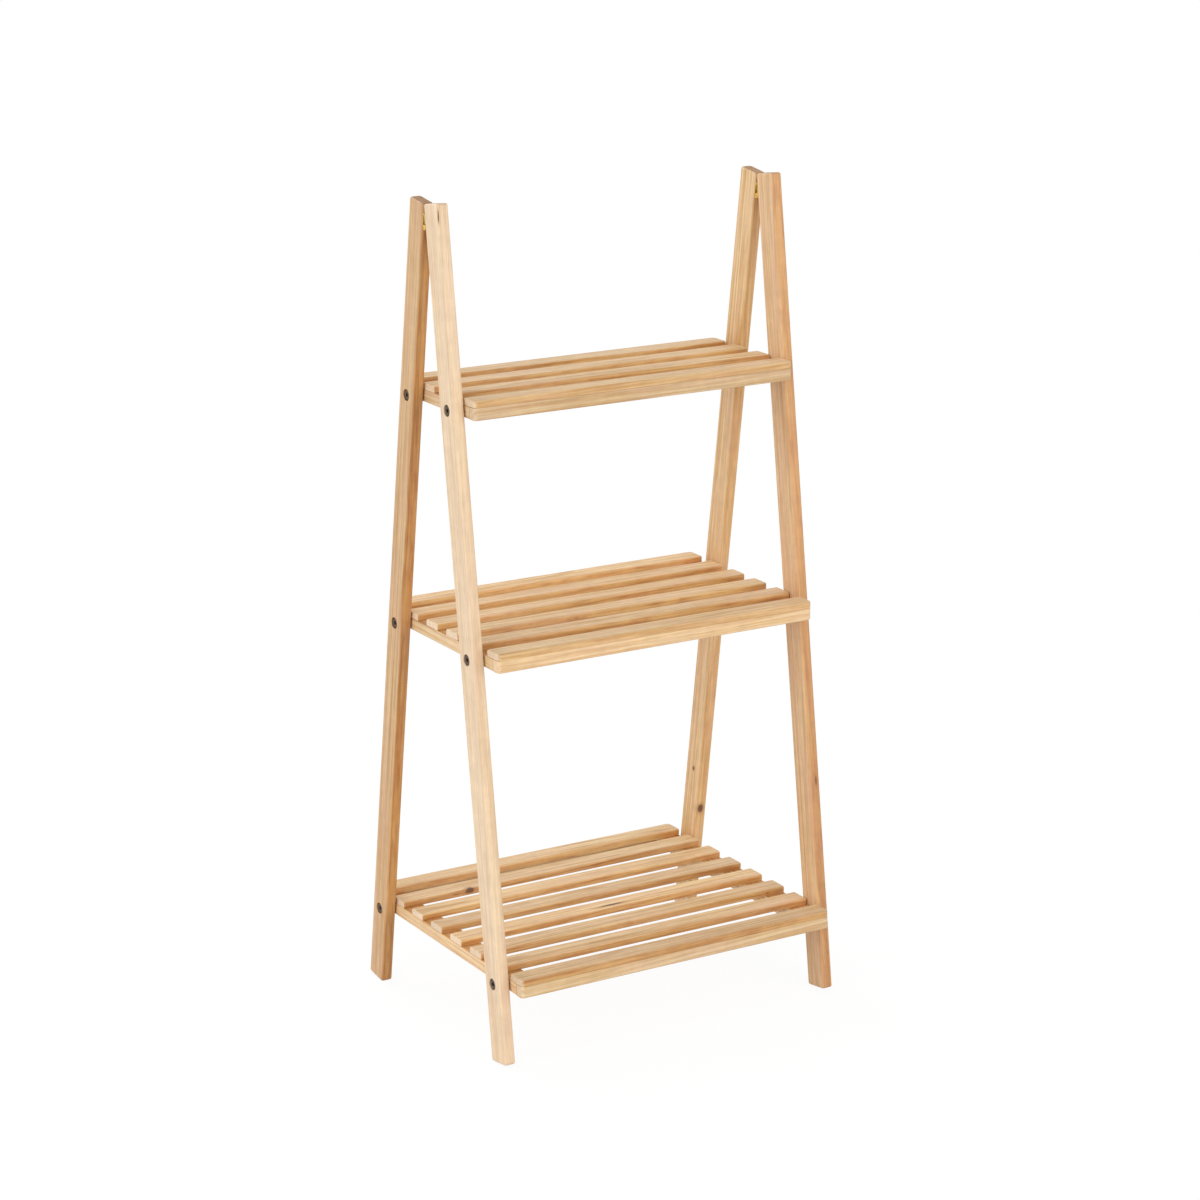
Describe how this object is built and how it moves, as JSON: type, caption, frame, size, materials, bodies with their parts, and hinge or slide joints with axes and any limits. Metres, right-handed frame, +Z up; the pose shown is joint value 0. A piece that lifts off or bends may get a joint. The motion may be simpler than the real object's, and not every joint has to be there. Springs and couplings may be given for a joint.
{
  "type": "plant ladder stand",
  "caption": "Folding A-frame plant stand in pale softwood with three slatted shelves that grow deeper towards the floor, hinged leg tops and bolted shelves.",
  "frame": {"origin": "on the floor, in the middle of the stand's width and depth", "axes": "+X to the right along the slats, -Y to the front, +Z up"},
  "size_m": [0.422, 0.335, 0.9053],
  "materials": {
    "leg_wood": "planed and lightly sanded pale softwood",
    "shelf_wood": "planed and lightly sanded pale softwood",
    "slat_wood": "planed and lightly sanded pale softwood",
    "dowel_wood": "turned hardwood dowel",
    "hinge_brass": "rolled and polished",
    "screw_brass": "turned",
    "bolt_bronze": "dark bronze plated",
    "nut_steel": "zinc plated",
    "brad_steel": "bright drawn wire"
  },
  "bodies": {
    "front_frame": {"left_front_leg": "leg_wood", "right_front_leg": "leg_wood", "left_front_leaf": "hinge_brass", "left_hinge_pin": "hinge_brass", "right_front_leaf": "hinge_brass", "right_hinge_pin": "hinge_brass", "left_front_leaf_screws": "screw_brass", "right_front_leaf_screws": "screw_brass", "left_front_bolts": "bolt_bronze", "right_front_bolts": "bolt_bronze", "left_front_nuts": "nut_steel", "right_front_nuts": "nut_steel"},
    "left_rear_leg": {"left_rear_leg": "leg_wood", "left_rear_leaf": "hinge_brass", "left_rear_leaf_screws": "screw_brass", "left_rear_bolts": "bolt_bronze", "left_rear_nuts": "nut_steel"},
    "right_rear_leg": {"right_rear_leg": "leg_wood", "right_rear_leaf": "hinge_brass", "right_rear_leaf_screws": "screw_brass", "right_rear_bolts": "bolt_bronze", "right_rear_nuts": "nut_steel"},
    "top_shelf": {"top_left_rail": "shelf_wood", "top_right_rail": "shelf_wood", "top_front_apron": "shelf_wood", "top_rear_apron": "shelf_wood", "top_dowels": "dowel_wood", "top_brads": "brad_steel", "top_slat_1": "slat_wood", "top_slat_2": "slat_wood", "top_slat_3": "slat_wood", "top_slat_4": "slat_wood"},
    "middle_shelf": {"middle_left_rail": "shelf_wood", "middle_right_rail": "shelf_wood", "middle_front_apron": "shelf_wood", "middle_rear_apron": "shelf_wood", "middle_dowels": "dowel_wood", "middle_brads": "brad_steel", "middle_slat_1": "slat_wood", "middle_slat_2": "slat_wood", "middle_slat_3": "slat_wood", "middle_slat_4": "slat_wood", "middle_slat_5": "slat_wood", "middle_slat_6": "slat_wood"},
    "bottom_shelf": {"bottom_left_rail": "shelf_wood", "bottom_right_rail": "shelf_wood", "bottom_front_apron": "shelf_wood", "bottom_rear_apron": "shelf_wood", "bottom_dowels": "dowel_wood", "bottom_brads": "brad_steel", "bottom_slat_1": "slat_wood", "bottom_slat_2": "slat_wood", "bottom_slat_3": "slat_wood", "bottom_slat_4": "slat_wood", "bottom_slat_5": "slat_wood", "bottom_slat_6": "slat_wood", "bottom_slat_7": "slat_wood", "bottom_slat_8": "slat_wood"}
  },
  "joints": [
    {"name": "bottom_shelf_swing", "type": "hinge", "parent": "front_frame", "child": "bottom_shelf", "pos_m": [0, -0.12958, 0.088], "axis": [1, 0, 0], "range_deg": [0, 82]},
    {"name": "middle_shelf_swing", "type": "hinge", "parent": "front_frame", "child": "middle_shelf", "pos_m": [0, -0.08095, 0.434], "axis": [1, 0, 0], "range_deg": [0, 82]},
    {"name": "top_shelf_swing", "type": "hinge", "parent": "front_frame", "child": "top_shelf", "pos_m": [0, -0.04455, 0.693], "axis": [1, 0, 0], "range_deg": [0, 82]},
    {"name": "left_leg_swing", "type": "hinge", "parent": "front_frame", "child": "left_rear_leg", "pos_m": [0, 0, 0.87664], "axis": [-1, 0, 0], "range_deg": [0, 16]},
    {"name": "right_leg_swing", "type": "hinge", "parent": "front_frame", "child": "right_rear_leg", "pos_m": [0, 0, 0.87664], "axis": [-1, 0, 0], "range_deg": [0, 16]}
  ],
  "couplings": [
    {"joint": "middle_shelf_swing", "follows": "bottom_shelf_swing", "ratio": 1},
    {"joint": "top_shelf_swing", "follows": "bottom_shelf_swing", "ratio": 1},
    {"joint": "left_leg_swing", "follows": "bottom_shelf_swing", "ratio": 0.19512},
    {"joint": "right_leg_swing", "follows": "bottom_shelf_swing", "ratio": 0.19512}
  ]
}
